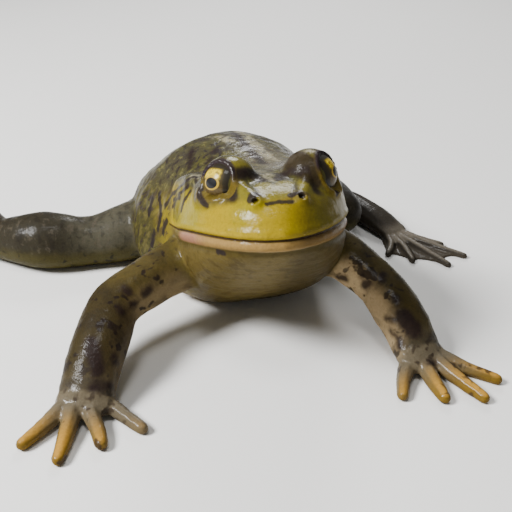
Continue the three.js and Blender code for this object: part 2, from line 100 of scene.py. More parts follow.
# Marks in the head's frame, placed one by one: side, half width, and the points that
# each runs through. Most are marks of the skin, but some of the soft dark ones are painted
# shade and some of the pale ones are painted highlights. A half width below 0 leaves only the
# faded rim of a mark. A mark of both sides is given for the left one, and one of the right
# side as its mirror image on the left.
DARK_MARKS = [
    ("both", 0.4, (21, -23.9, 17.8), (23.8, -9.9, 15), (26.6, -8.1, 13.5), (29.1, -4.7, 10.6),
     (31.7, 11.1, 4.2), (34.2, 13.2, 0.9)),
    ("both", 0.7, (23, -24.6, 13.6), (23.4, -26.7, 11.6), (22.8, -30.2, 10), (22, -31.3, 8.8)),
    ("both", 0.35, (26.2, -10.8, 11.8), (29.1, -7.7, 9), (30.9, 5.8, 3.8)),
    ("both", 0.3, (25.5, -13.6, 10.6), (28.1, -12.2, 7), (29.4, -11.8, 3.4)),
    ("both", 0.35, (29.5, -8, 7.6), (31.9, 6.8, 0.9)),
    ("both", 0.3, (33.1, 11.7, 1.5), (34.4, 12.5, -0.5)),
    ("both", 0.3, (31.3, 2.7, 1.8), (31.6, 2.5, -1.9)),
    ("both", 0.5, (34.1, 10.8, -5.2), (36.1, 14.8, -11.2)),
    ("both", 0.6, (35.6, 20.1, 3.9), (36.1, 15.3, -3.7), (37.8, 18.1, -10.2)),
    ("right", 0.6, (38.9, 23.4, 0.8), (40.6, 24.6, -5.4)),
    ("right", 0.6, (39, 21.3, -11.7), (40.7, 25.8, -18.1)),
    ("right", 0.4, (20, -35.4, -5.8), (18.4, -38, -5.8)),
    ("both", 0.3, (0, -44.8, 11), (4.1, -45.3, 10.7)),
    ("right", 1.0, (9.1, -43.3, 12.1), (7.1, -41.3, 13.5)),
    ("left", 0.7, (4.1, -42.8, 12.4), (7.9, -42.8, 12)),
]
SHADOW_MARKS = [
    # Painted shade, partly over dark skin: the patches before each eye, the front of the left eye's
    # mound and the gap of its lids.
    ("both", 0.6, (11.1, -31, 18.2), (8, -29.4, 18.4), (4.5, -27.5, 16.5), (2.9, -30.1, 15.5)),
    ("both", 0.2, (12.8, -31.9, 16.9), (13.8, -36.6, 11.8)),
    ("left", 2.8, (9.3, -26.1, 20.5), (12.4, -30.9, 17.2), (12.8, -32.5, 14.5)),
    ("left", 1.2, (12, -28.9, 20.6), (14.1, -31, 18.8)),
    ("left", -0.6, (17.7, -27.5, 19.9), (17.6, -30.3, 16.3), (16.4, -33.3, 13)),
    ("left", -0.2, (-3.7, 35.4, 22.7), (-1.4, 18.2, 20), (0.6, 6.7, 17.4), (1.7, -2.4, 16.2)),
    ("right", -0.6, (14, 17.1, 18.6), (11.2, 20.8, 20.1)),
    ("right", -0.6, (17.2, 10.6, 15.6), (15, 12.7, 17)),
    ("right", -0.4, (21, 27, 18), (24.5, 14, 15.5)),
    ("left", -0.4, (15, 24, 19), (18, 8, 16)),
    ("left", -0.2, (27.4, -5.4, -29.4), (29.5, -9.3, -28.7)),
    ("left", -0.2, (34.3, -14.1, -26.2), (34.9, -14.8, -26.8)),
    ("left", -0.4, (35.6, -16.2, -29.1), (36.7, -17.4, -29.3)),
    ("left", -0.2, (40.5, -17.5, -26.6), (41.3, -18.7, -27.4)),
    ("left", -0.2, (43.7, -25, -32.1), (44, -26.1, -33.3)),
    ("left", 1.4, (45.2, -30.5, -38.4), (47, -33.5, -42.7)),
    ("left", -0.9, (39.4, -26.5, -39.9), (44.2, -30.8, -39.2)),
    ("left", -0.8, (40.6, -29.5, -42.7), (41.4, -32.6, -45.1), (41.4, -34.5, -47.4)),
    ("left", -0.3, (51, -40.4, -52.1), (52.2, -40.2, -53.2)),
    ("right", -0.3, (45.6, -16.5, -24.4), (43.7, -15.4, -23.5)),
    ("right", -0.3, (51.9, -17.6, -21.4), (51.3, -18, -22.5)),
    ("right", -0.4, (54.7, -23.6, -25.6), (53.5, -23.3, -26.6)),
    ("right", -0.4, (50.3, -19, -25.9), (49.4, -18.6, -26.9)),
    ("right", -0.5, (57.9, -35.9, -38.5), (57.1, -36.3, -39.9)),
    ("right", 0.6, (64.2, -33.6, -33.2), (62.8, -39, -39.7)),
    ("right", -0.2, (64.9, -42.8, -44.8), (59.3, -42.1, -46.3)),
]
GREEN_MARKS = [
    ("both", 2.0, (11.9, -28.2, 21.6), (7.2, -25.3, 21)),
    ("both", 1.3, (11.2, -33.6, 15), (9.6, -39, 13.2)),
    ("left", 0.4, (14.5, -30.7, 19.4), (15, -32.4, 15.6), (14.6, -34.9, 12.1)),
    ("both", 1.5, (3.5, -35, 14.4), (1.5, -41, 12.8)),
]
# Pale marks and painted highlights: the band along the back to the crown, the patch on the back's right
# and the top of the left eye's mound are painted highlights.
PALE_MARKS_AND_HIGHLIGHTS = [
    ("both", 0.4, (20.6, -19.5, 18.5), (24.3, -9, 16.4)),
    ("left", 0.4, (-0.2, 40, 22.2), (1.9, 21.9, 20.4), (4.9, 10, 17.6), (8.3, 1.7, 16)),
    ("left", 0.2, (8.7, -25.1, 21), (12.2, -25.2, 22.7), (15, -25.1, 23.1)),
    ("right", 0.4, (10.4, 30.8, 22.2), (7.2, 23.8, 21.3)),
    ("right", 0.3, (1.4, -20, 15.5), (0.3, -32.3, 15.2)),
]

FLESH = [name for name in sorted(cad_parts) if not name.startswith("eye_")]
TRUNK = ("head", "lower_jaw", "torso", "tympanum_left", "tympanum_right")
DIGITS = [name for name in FLESH if name.startswith(("hand", "foot"))]


# ---- Small helpers ----------------------------------------------------------------------

def linear(code):
    """Turns an sRGB hex colour into the linear colour that a shader takes."""
    parts = [int(code[i:i + 2], 16) / 255 for i in (1, 3, 5)]
    parts = [p / 12.92 if p <= 0.04045 else ((p + 0.055) / 1.055) ** 2.4 for p in parts]
    return (*parts, 1)


def put(tree, kind, inputs, **settings):
    """Adds a node with its settings, and links or sets its inputs."""
    node = tree.nodes.new(kind)
    for key, value in settings.items():
        setattr(node, key, value)
    for key, value in inputs.items():
        if isinstance(value, bpy.types.NodeSocket):
            tree.links.new(value, node.inputs[key])
        else:
            node.inputs[key].default_value = value
    return node


def pick_only(*pieces):
    bpy.ops.object.select_all(action="DESELECT")
    for piece in pieces:
        piece.select_set(True)
    bpy.context.view_layer.objects.active = pieces[0]


def read_points(piece):
    points = np.empty(len(piece.data.vertices) * 3)
    piece.data.vertices.foreach_get("co", points)
    return points.reshape(-1, 3) / MM


def write_points(piece, points):
    piece.data.vertices.foreach_set("co", (points * MM).ravel())
    piece.data.update()


def read_normals(piece):
    normals = np.empty(len(piece.data.vertices) * 3)
    piece.data.vertex_normals.foreach_get("vector", normals)
    return normals.reshape(-1, 3)


def step(low, high, value):
    """0 at low and before it, 1 at high and past it, and a soft change between. Either may be
    the larger."""
    t = np.clip((value - low) / (high - low), 0, 1)
    return t * t * (3 - 2 * t)


def hump(distance, width):
    """1 at no distance, falling smoothly away on both sides."""
    return np.exp(-(distance / width) ** 2)


class Net:
    """The edges of a mesh, for averaging values between neighbours."""

    def __init__(self, piece):
        edges = np.empty(len(piece.data.edges) * 2, int)
        piece.data.edges.foreach_get("vertices", edges)
        self.a, self.b = edges.reshape(-1, 2).T
        self.count = len(piece.data.vertices)
        ends = np.concatenate([self.a, self.b])
        self.degree = np.maximum(np.bincount(ends, minlength=self.count), 1)

    def mean(self, values):
        there = np.bincount(self.a, values[self.b], self.count)
        back = np.bincount(self.b, values[self.a], self.count)
        return (there + back) / self.degree

    def smooth(self, values, rounds, share=0.5, weight=1.0):
        values = values.copy()
        columns = values.reshape(self.count, -1)
        for _ in range(rounds):
            for i in range(columns.shape[1]):
                columns[:, i] += share * weight * (self.mean(columns[:, i]) - columns[:, i])
        return columns.reshape(values.shape)


HEAD = (
    Matrix.Translation(HEAD_AT)
    @ Matrix.Rotation(math.radians(HEAD_YAW), 4, "Z")
    @ Matrix.Rotation(math.radians(HEAD_PITCH), 4, "X")
    @ Matrix.Rotation(math.radians(HEAD_ROLL), 4, "Y")
)
HEAD_TURN = np.array(HEAD.to_3x3())


def to_head(points):
    return (points - np.array(HEAD_AT)) @ HEAD_TURN


def side_frame(at, side, forward, tilt):
    """Frame of a feature on one side of the head: its origin, and its axes with Z looking out."""
    out = Vector((
        SIDES[side] * math.cos(math.radians(forward)),
        -math.sin(math.radians(forward)),
        math.tan(math.radians(tilt)),
    )).normalized()
    across = Vector((0, 0, 1)).cross(out).normalized()
    local = Matrix((across, out.cross(across), out)).transposed().to_4x4()
    local.translation = at
    return HEAD @ local


def lids_place(side):
    return side_frame(EYE_AT[side], side, LID_YAW[side], LID_TILT)


def ear_place(side):
    return side_frame(EAR_AT[side], side, EAR_YAW, EAR_TILT)


def nostril_place(side):
    return side_frame(NOSTRIL_AT[side], side, NOSTRIL_YAW, NOSTRIL_TILT)


def in_frame(points, place):
    turn = np.array(place.to_3x3())
    return (points - np.array(place.translation)) @ turn


def ahead_of_wrist(points, side):
    return (points - np.array(WRIST_AT[side])) @ np.array(WRIST_AHEAD[side])


# ---- The skin: one closed surface over all the flesh --------------------------------------

def flesh_copies():
    """Copies of the CAD flesh, each grown a little so that the thin gaps between them close."""
    copies = []
    for name in FLESH:
        copy = bpy.data.objects.new("skin_" + name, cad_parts[name].data.copy())
        bpy.context.scene.collection.objects.link(copy)
        pick_only(copy)
        bpy.ops.object.mode_set(mode="EDIT")
        bpy.ops.mesh.select_all(action="SELECT")
        bpy.ops.mesh.remove_doubles(threshold=1e-6)
        bpy.ops.transform.shrink_fatten(value=SKIN_GROWTH * MM)
        bpy.ops.object.mode_set(mode="OBJECT")
        copies.append(copy)
    return copies


def add_ball(place, radius):
    bpy.ops.object.select_all(action="DESELECT")
    bpy.ops.mesh.primitive_uv_sphere_add(segments=32, ring_count=20, radius=MM)
    ball = bpy.context.object
    ball.data.transform(Matrix.Diagonal((radius, radius, radius, 1)))
    ball.data.transform(scaled_place(place))
    return ball


def scaled_place(place):
    """A place in millimetres as a matrix for a mesh in metres."""
    metres = place.copy()
    metres.translation = place.translation * MM
    return metres


def lid_border(side):
    """Points round the opening of the lids, on the eyeball."""
    place = lids_place(side)
    points = []
    for i in range(LID_POINTS):
        angle = 2 * math.pi * i / LID_POINTS
        x = LID_HALF_WIDTH * LID_ROLL_OUT * math.cos(angle)
        y = LID_HALF_HEIGHT * LID_ROLL_OUT * math.sin(angle)
        points.append(place @ Vector((x, y, math.sqrt(EYE_RADIUS ** 2 - x * x - y * y))))
    return points


def add_ring(points, radius):
    """A closed roll of flesh through the points of a lid's border."""
    bpy.ops.object.select_all(action="DESELECT")
    bpy.ops.curve.primitive_bezier_circle_add(radius=MM)
    ring = bpy.context.object
    bpy.ops.object.mode_set(mode="EDIT")
    bpy.ops.curve.subdivide(number_cuts=LID_POINTS // 4 - 1)
    bpy.ops.object.mode_set(mode="OBJECT")
    spline = ring.data.splines[0]
    for spot, point in zip(spline.bezier_points, points):
        spot.co = point * MM
        spot.radius = radius
        spot.handle_left_type = spot.handle_right_type = "AUTO"
    ring.data.dimensions = "3D"
    ring.data.resolution_u = 8
    ring.data.bevel_depth = MM
    ring.data.bevel_resolution = 5
    pick_only(ring)
    bpy.ops.object.convert(target="MESH")
    return bpy.context.object


def make_skin():
    """Fuses the flesh, the eyeballs and the rolls of the lids into one closed shell."""
    parts = flesh_copies()
    for side in SIDES:
        parts.append(add_ball(lids_place(side), EYE_RADIUS + EYE_CLEARANCE))
        parts.append(add_ring(lid_border(side), LID_ROLL))
    pick_only(*parts)
    bpy.ops.object.join()
    skin = bpy.context.object
    skin.name = "skin"
    skin.data.materials.clear()
    shell = skin.modifiers.new("one shell", "REMESH")
    shell.mode = "VOXEL"
    shell.voxel_size = SKIN_GRAIN * MM
    bpy.ops.object.modifier_apply(modifier=shell.name)
    keep_largest(skin)
    return skin


def keep_largest(piece):
    """Deletes every loose bit but the largest, such as the wall of a closed hollow."""
    net = Net(piece)
    label = np.arange(net.count)
    while True:
        low = np.minimum(label[net.a], label[net.b])
        before = label.copy()
        np.minimum.at(label, net.a, low)
        np.minimum.at(label, net.b, low)
        label = label[label]
        if (label == before).all():
            break
    biggest = np.bincount(label).argmax()
    if (label == biggest).all():
        return
    pick_only(piece)
    bpy.ops.object.mode_set(mode="EDIT")
    bpy.ops.mesh.select_all(action="DESELECT")
    bpy.ops.object.mode_set(mode="OBJECT")
    piece.data.vertices.foreach_set("select", label != biggest)
    bpy.ops.object.mode_set(mode="EDIT")
    bpy.ops.mesh.delete(type="VERT")
    bpy.ops.object.mode_set(mode="OBJECT")


def region_masks(piece):
    """For each piece of flesh, 1 at the points of the skin that lie nearest to it."""
    corners, faces, owner = [], [], []
    for index, name in enumerate(FLESH):
        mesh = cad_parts[name].data
        first = len(corners)
        corners.extend(v.co.copy() for v in mesh.vertices)
        faces.extend([first + i for i in face.vertices] for face in mesh.polygons)
        owner.extend([index] * len(mesh.polygons))
    tree = BVHTree.FromPolygons(corners, faces)
    nearest = np.array([owner[tree.find_nearest(v.co)[2]] for v in piece.data.vertices])
    return {name: (nearest == index).astype(float) for index, name in enumerate(FLESH)}


def roughen(points, size, seed):
    """Even noise from about -1 to 1, with lumps of a given size in millimetres."""
    shift = Vector((seed * 17.3, seed * 5.1, seed * 9.7))
    return np.array([fractal(Vector(p) / size + shift, 1.0, 2.0, 3) for p in points])


def above_mouth(head):
    """Height above the line of the mouth, which hangs towards its corners."""
    return head[:, 2] + MOUTH_DROOP * (1 + np.minimum(0, head[:, 1]) / HEAD_LENGTH) ** 2


def lid_frame(points, side):
    """Places round an eye: distance from its middle, unit direction, and 1 at the lids' edge."""
    eye = in_frame(points, lids_place(side))
    radius = np.linalg.norm(eye, axis=1)
    unit = eye / radius[:, None]
    across = unit[:, 0] * EYE_RADIUS / LID_HALF_WIDTH
    opening = np.hypot(across, unit[:, 1] * EYE_RADIUS / LID_HALF_HEIGHT)
    return radius, unit, np.where(unit[:, 2] > 0, opening, 3)


def joint_zones(points, net, masks, digits):
    """1 where two pieces of flesh meet behind the face, and below the mouth."""
    head = to_head(points)
    zones = np.zeros(net.count)
    for name in FLESH:
        if name in DIGITS or name.startswith("tympanum"):
            continue
        blurred = net.smooth(masks[name], 5)
        zones = np.maximum(zones, 4 * blurred * (1 - blurred))
    zones = np.clip(net.smooth(np.clip(zones * 1.5, 0, 1), 12) * 1.6, 0, 1) * (1 - digits)
    return zones * np.maximum(step(-2, 6, head[:, 1]), step(-7, -11, above_mouth(head)))


def soften_crown(points, net, limbs):
    """Smooths the top and sides of the head, away from lids and nostrils, and round the ears."""
    head = to_head(points)
    soft = step(8, -2, head[:, 1]) * step(2.5, 5, above_mouth(head)) * (1 - limbs)
    for side in SIDES:
        soft *= step(1.15, 1.6, lid_frame(points, side)[2])
        nose = in_frame(points, nostril_place(side))
        soft *= step(1.5, 3.5, np.linalg.norm(nose, axis=1))
    points = net.smooth(points, 26, 0.5, soft)
    points = net.smooth(points, 130, 0.5, soft * step(-22, -14, head[:, 1]))
    for side in SIDES:
        from_ear = np.linalg.norm(points - np.array(HEAD @ Vector(EAR_AT[side])), axis=1)
        near_ear = step(13, 8, from_ear) * step(1, 4, above_mouth(to_head(points)))
        points = net.smooth(points, 90, 0.5, near_ear)
    return points


def lump_together(skin, net, masks, digits):
    """Softens the steps between pieces of flesh and the flat facets of the limbs."""
    points = read_points(skin)
    firm = 1 - 0.75 * np.clip(net.smooth(digits, 6), 0, 1)
    for _ in range(4):
        points = net.smooth(points, 1, 0.5, firm)
        points = net.smooth(points, 1, -0.52, firm)
    points = net.smooth(points, 30, 0.5, joint_zones(points, net, masks, digits))

    trunk = sum(masks[n] for n in TRUNK)
    limbs = np.clip(net.smooth(1 - trunk - digits, 10), 0, 1)
    points = net.smooth(points, 60, 0.5, limbs)
    points = net.smooth(points, 30, 0.5, net.smooth(masks["torso"], 10))
    points = soften_crown(points, net, limbs)
    write_points(skin, points)
    points += read_normals(skin) * (0.3 * limbs)[:, None]
    return points, limbs


def shape_mouth(lift, points, normals):
    """Presses in the line of the mouth and raises the lips."""
    head = to_head(points)
    above = above_mouth(head)
    on_head = step(8, -2, head[:, 1])
    sideways = 1 - np.abs(normals[:, 2]) ** 4
    for at, width, high in MOUTH_RIDGES:
        lift += high * hump(above - at, width) * on_head * sideways


def shape_ear(lift, points, side):
    """Sets the eardrum in a shallow ring, with a low swelling in its middle."""
    ear = in_frame(points, ear_place(side))
    across = np.hypot(ear[:, 0], ear[:, 1])
    near = hump(ear[:, 2], 6)
    for out, width, high in EAR_RIDGES:
        lift += high * hump(across - EAR_RADIUS - out, width) * near
    lift += EAR_BOSS * hump(across, 3) * near


def sink_nostril(lift, points, side):
    nose = in_frame(points, nostril_place(side))
    reach = np.hypot(nose[:, 0] / 1.25, nose[:, 1])
    lift -= NOSTRIL_DEPTH * hump(reach, NOSTRIL_RADIUS) * hump(nose[:, 2], 4)


def crease_wrist(lift, points, side):
    wavy = ahead_of_wrist(points, side) + 0.5 * np.sin(points[:, 0] * 0.7)
    from_wrist = np.linalg.norm(points - np.array(WRIST_AT[side]), axis=1)
    lift -= WRIST_CREASE * hump(wavy, 1.1) * hump(from_wrist, 13)


def wrinkle(lift, points, torso, limbs):
    """Folds down the flanks, and low lumps and warts over body, limbs and throat."""
    out, height = np.abs(points[:, 0]), points[:, 2]
    flank = torso * step(20, 30, out) * step(54, 42, height) * step(6, 14, height)
    folds = 1 - 3.2 * np.abs(roughen(points * (1, 1, 0.32), 9, 1))
    lift += 0.42 * flank * np.clip(folds, -1, 1)
    lift += 0.24 * torso * roughen(points, 8, 2) + 0.09 * torso * roughen(points, 2.6, 5)
    lift += 0.18 * limbs * roughen(points, 7, 3) + 0.07 * limbs * roughen(points, 2.4, 6)
    head = to_head(points)
    throat = step(8, -2, head[:, 1]) * step(-7, -12, above_mouth(head))
    lift += 0.25 * throat * roughen(points * (0.5, 1, 1.6), 9, 4)


def open_lids(points, side):
    """Draws the skin back behind the surface of the eyeball where the lids are open."""
    place = lids_place(side)
    radius, unit, opening = lid_frame(points, side)
    inside = step(1.10, 0.96, opening) * (radius < EYE_RADIUS + 3)
    sunk = np.minimum(radius, EYE_RADIUS - EYE_SEAT)
    goal = radius + (sunk - radius) * inside
    back = unit * goal[:, None] @ np.array(place.to_3x3()).T + np.array(place.translation)
    return np.where(inside[:, None] > 0, back, points)


def sculpt(skin):
    net = Net(skin)
    masks = region_masks(skin)
    digits = sum(masks[n] for n in DIGITS)
    points, limbs = lump_together(skin, net, masks, digits)
    write_points(skin, points)
    normals = read_normals(skin)
    lift = np.zeros(net.count)
    shape_mouth(lift, points, normals)
    for side in SIDES:
        shape_ear(lift, points, side)
        sink_nostril(lift, points, side)
        crease_wrist(lift, points, side)
    wrinkle(lift, points, np.clip(net.smooth(masks["torso"], 12), 0, 1), limbs)
    points += normals * lift[:, None]
    for side in SIDES:
        points = open_lids(points, side)
    points[:, 2] = np.maximum(points[:, 2], 0)
    write_points(skin, points)


def thin_out(skin):
    """Fewer faces where the skin is plain, so that the face and the digits keep theirs."""
    head = to_head(read_points(skin))
    masks = region_masks(skin)
    digits = sum(masks[n] for n in DIGITS)
    trunk = sum(masks[n] for n in TRUNK)
    plain = 0.6 * trunk * step(6, 26, head[:, 1]) + 0.8 * (1 - trunk - digits) + 0.4 * digits
    group = skin.vertex_groups.new(name="plain")
    for level in range(1, 6):
        chosen = np.nonzero(np.round(plain * 5) == level)[0]
        group.add([int(i) for i in chosen], level / 5, "REPLACE")
    fewer = skin.modifiers.new("fewer faces", "DECIMATE")
    fewer.ratio = SKIN_SHARE
    fewer.vertex_group = "plain"
    fewer.vertex_group_factor = 1.0
    pick_only(skin)
    bpy.ops.object.modifier_apply(modifier=fewer.name)
    skin.vertex_groups.clear()


def from_marks(head, marks):
    """Distance in millimetres outside the nearest mark, and below 0 inside it."""
    nearest = np.full(len(head), 30.0)
    for side, half, *line in marks:
        if side == "both":
            places = np.abs(head * (1, 0, 0)) + head * (0, 1, 1)
        else:
            places = head * np.array([SIDES[side], 1, 1])
        on_skin = [
            places[np.linalg.norm(places - np.array(point), axis=1).argmin()] for point in line
        ]
        for a, b in zip(on_skin, on_skin[1:]):
            share = np.clip((places - a) @ (b - a) / ((b - a) @ (b - a) + 1e-9), 0, 1)
            gap = np.linalg.norm(places - a - share[:, None] * (b - a), axis=1)
            nearest = np.minimum(nearest, gap - half)
    return nearest


def measure_sides(points):
    """Distances ahead of the wrist, outside the lids' edge and from the middle of the ear, and
    1 over an upper lid. Where none of these is near, the distance is a large one."""
    away = np.full(len(points), 99.0)
    lid = np.full(len(points), 9.0)
    lid_top = np.zeros(len(points))
    ear = np.full(len(points), 20.0)
    for side in SIDES:
        on_side = np.sign(points[:, 0]) == SIDES[side]
        away = np.where(on_side, ahead_of_wrist(points, side), away)
        radius, unit, opening = lid_frame(points, side)
        close = (radius < EYE_RADIUS + 4) & (opening < 2.5)
        lid = np.where(close, (opening - 1) * LID_HALF_WIDTH, lid)
        upwards = unit[:, 1] / np.hypot(unit[:, 0], unit[:, 1])
        lid_top = np.where(close, step(-0.2, 0.5, upwards), lid_top)
        place = in_frame(points, ear_place(side))
        across = np.hypot(place[:, 0], place[:, 1])
        ear = np.where(np.abs(place[:, 2]) < 6, np.minimum(ear, across), ear)
    return away, lid, lid_top, ear


def map_skin(skin):
    """Marks out the regions of the skin: where each colour lies, and where each line runs."""
    net = Net(skin)
    points = read_points(skin)
    normals = net.smooth(read_normals(skin), 3)
    masks = region_masks(skin)
    blur = {name: np.clip(net.smooth(mask, 10), 0, 1) for name, mask in masks.items()}
    arm_parts = ("upper_arm", "forearm", "hand")
    leg_parts = ("thigh", "shank", "tarsus", "foot")
    arms = np.clip(sum(blur[f"{part}_{side}"] for part in arm_parts for side in SIDES), 0, 1)
    legs = np.clip(sum(blur[f"{part}_{side}"] for part in leg_parts for side in SIDES), 0, 1)
    # The left shank and tarsus: painted darker than the right ones as shade, and given a thinner film.
    shaded_left_leg = sum(blur[f"{part}_left"] for part in ("shank", "tarsus"))
    hands = np.clip(net.smooth(masks["hand_left"] + masks["hand_right"], 30), 0, 1)
    feet = np.clip(net.smooth(masks["foot_left"] + masks["foot_right"], 30), 0, 1)
    body = 1 - np.maximum(arms, legs)
    head = to_head(points)
    aside, back, up = head.T
    above = above_mouth(head)
    on_head = step(10, 4, back) * (1 - arms)
    x, y, height = points.T
    facing_up = normals[:, 2]

    face_top = 8.0 + 3.0 * step(-30, -42, back) + 1.5 * step(-26, -16, back)
    face = on_head * step(face_top + 3, face_top - 1.5, up) * step(-1, 0.3, above)
    side_band = body * step(52, 40, height) * step(20, 29, np.abs(x)) * step(14, -8, y)
    under = body * step(-0.35, -0.85, facing_up) * (1 - on_head * step(-1, 0, above))
    inward = -np.sign(x) * normals[:, 0] - 0.4 * normals[:, 1] - 0.5 * facing_up
    spine = x - np.interp(y, *zip(*SPINE))
    away, lid, lid_top, ear = measure_sides(points)

    # The crown, where the film is thicker and the colour lighter, partly as a painted highlight.
    crown_sheen = hump(back - 4, 18) * hump(aside - 5, 9) * step(10, 14, up)
    left_brow = step(5, 9, aside) * step(12, 15, up) * step(-8, -14, back)
    film = 0.5 - 0.28 * legs - 0.26 * arms + 0.35 * hands - 0.1 * shaded_left_leg
    film += 0.3 * crown_sheen - 0.4 * left_brow - 0.16 * body * step(20, 36, back)

    fields = {
        "above_mouth": np.where(back < 14, above, 20),
        "lip": step(-3, -14, back),
        "lip_end": step(-34, -21, back),
        "face": face,
        "left_jaw_shade": step(-3, 9, aside) * step(10, 2, back),
        # Painted shade: the left side of the jaw, the lips and the throat are made darker.
        "throat": body * step(14, 2, back) * step(0.5, -1, above),
        "crown_sheen": np.clip(crown_sheen, 0, 1) * body,
        "flank": side_band * (1 - on_head),
        "nape_side": side_band * step(26, 9, back),
        "belly": under * step(-60, -35, y),
        "spine": np.abs(spine),
        "arms": arms,
        # The tan inner side of the arms, kept faint on the right arm as painted shade.
        "inner_arm": arms * step(0.0, 0.75, inward) * np.where(x > 0, 1, 0.3),
        "forearms": blur["forearm_right"] + 0.4 * blur["forearm_left"],
        "wrist": np.where(arms > 0.5, np.abs(away + 1.2), 9),
        "hand": hands,
        "fingers": hands * step(5, 22, away),
        # The upper side of the fingers, painted lighter as a highlight.
        "lit_finger_tops": hands * step(0.55, 0.95, facing_up),
        "legs": legs,
        "shaded_left_leg": shaded_left_leg,
        # Painted light: the right thigh is made lighter near the body.
        "thigh_root_light": blur["thigh_right"] * step(-72, -56, x),
        "low_side": legs * step(0.2, -0.3, facing_up),
        "foot": feet,
        "web": feet * step(2.2, 1.2, height),
        # The upper ridges of the toes, painted lighter as a highlight.
        "lit_toe_ridges": feet * step(0.6, 0.95, facing_up) * step(1.6, 2.8, height) * step(7, 4.5, height),
        "wet_film": 0.03 + film * step(-0.05, 0.65, facing_up) * (1 - 0.5 * side_band),
        "lid": lid,
        "lid_top": lid_top,
        "ear": ear,
        "dark_mark": from_marks(head, DARK_MARKS),
        "shadow_mark": from_marks(head, SHADOW_MARKS),
        "green_mark": from_marks(head, GREEN_MARKS),
        "pale_and_highlight": from_marks(head, PALE_MARKS_AND_HIGHLIGHTS),
    }
    for name, values in fields.items():
        layer = skin.data.attributes.new(name, "FLOAT", "POINT")
        layer.data.foreach_set("value", values.astype(np.float32))
    return list(fields)


# ---- Materials ----------------------------------------------------------------------------

# Patterns of the skin: size in millimetres, detail, stretch, roughness and distortion. All of
# them lean back as they run down, by this many degrees, which shows in the long ones.
MARKS_LEAN = 42
SKIN_PATTERNS = {
    "cloud": (22, 2, (1, 1, 1), 0.5, 0.0),
    "blotch": (8, 2, (1, 1, 1), 0.5, 0.4),
    "spots": (4.5, 2, (1, 1, 1), 0.5, 0.2),
    "streaks": (2.3, 3, (1, 1, 4), 0.5, 0.4),
    "mottle": (2.6, 3, (1, 1.8, 1), 0.55, 0.5),
    "fleck": (2.2, 3, (1, 1, 1), 0.6, 0.0),
    "speck": (0.9, 2, (1, 1, 1), 0.6, 0.0),
}

# Windows on a field or pattern: what it reads, how far which pattern wobbles it, and the
# values where it starts and where it is full.
SKIN_WINDOWS = {
    "some_cloud": ("cloud", 0, "cloud", 0.42, 0.62),
    "some_blotch": ("blotch", 0, "blotch", 0.46, 0.70),
    "some_spots": ("spots", 0, "spots", 0.52, 0.62),
    "few_spots": ("spots", 0, "spots", 0.57, 0.66),
    "some_streaks": ("streaks", 0, "streaks", 0.50, 0.62),
    "pale_streaks": ("streaks", 0, "streaks", 0.46, 0.36),
    "some_flecks": ("fleck", 0, "fleck", 0.55, 0.72),
    "some_mottles": ("mottle", 0, "mottle", 0.52, 0.66),
    "pale_mottles": ("mottle", 0, "mottle", 0.44, 0.34),
    "wet_patches": ("cloud", 0, "cloud", 0.3, 0.6),
    "green_mark_in": ("green_mark", 2.0, "spots", 2.2, 0.3),
    "dark_mark_in": ("dark_mark", 1.5, "fleck", 0.9, 0.1),
    "shadow_mark_in": ("shadow_mark", 3.0, "spots", 3.2, 0.6),
    "pale_and_highlight_in": ("pale_and_highlight", 5.0, "spots", 3.0, 0.2),
    "broken_line": ("fleck", 0, "fleck", 0.40, 0.56),
    "below_lip": ("above_mouth", 0, "speck", -4.4, -3.4),
    # A band in the crease below the lower lip, where shade is painted.
    "shade_under_lip": ("above_mouth", 1.0, "fleck", -7.4, -5.4),
    "lip_edge": ("above_mouth", 0, "fleck", -3.8, -4.5),
    "above_lip": ("above_mouth", 0, "speck", -0.2, -0.7),
    "over_line": ("above_mouth", 0, "speck", 0.55, 0.15),
    "under_line": ("above_mouth", 0, "speck", -0.65, -0.25),
    "upper_rim": ("above_mouth", 0, "speck", 3.2, 1.2),
    "near_lid": ("lid", 0.5, "fleck", 1.5, 0.9),
    "ear_disc": ("ear", 0.8, "fleck", 7.4, 6.6),
    "ear_rim_out": ("ear", 0.8, "fleck", 9.0, 8.0),
    "ear_rim_in": ("ear", 0.8, "fleck", 6.6, 7.6),
    "near_spine": ("spine", 3.0, "spots", 5.5, 3.0),
    # The crease of the wrist, where shade is painted.
    "wrist_crease_shade": ("wrist", 0.8, "fleck", 2.6, 1.2),
    "face_any": ("face", 0, "speck", 0.0, 0.05),
}

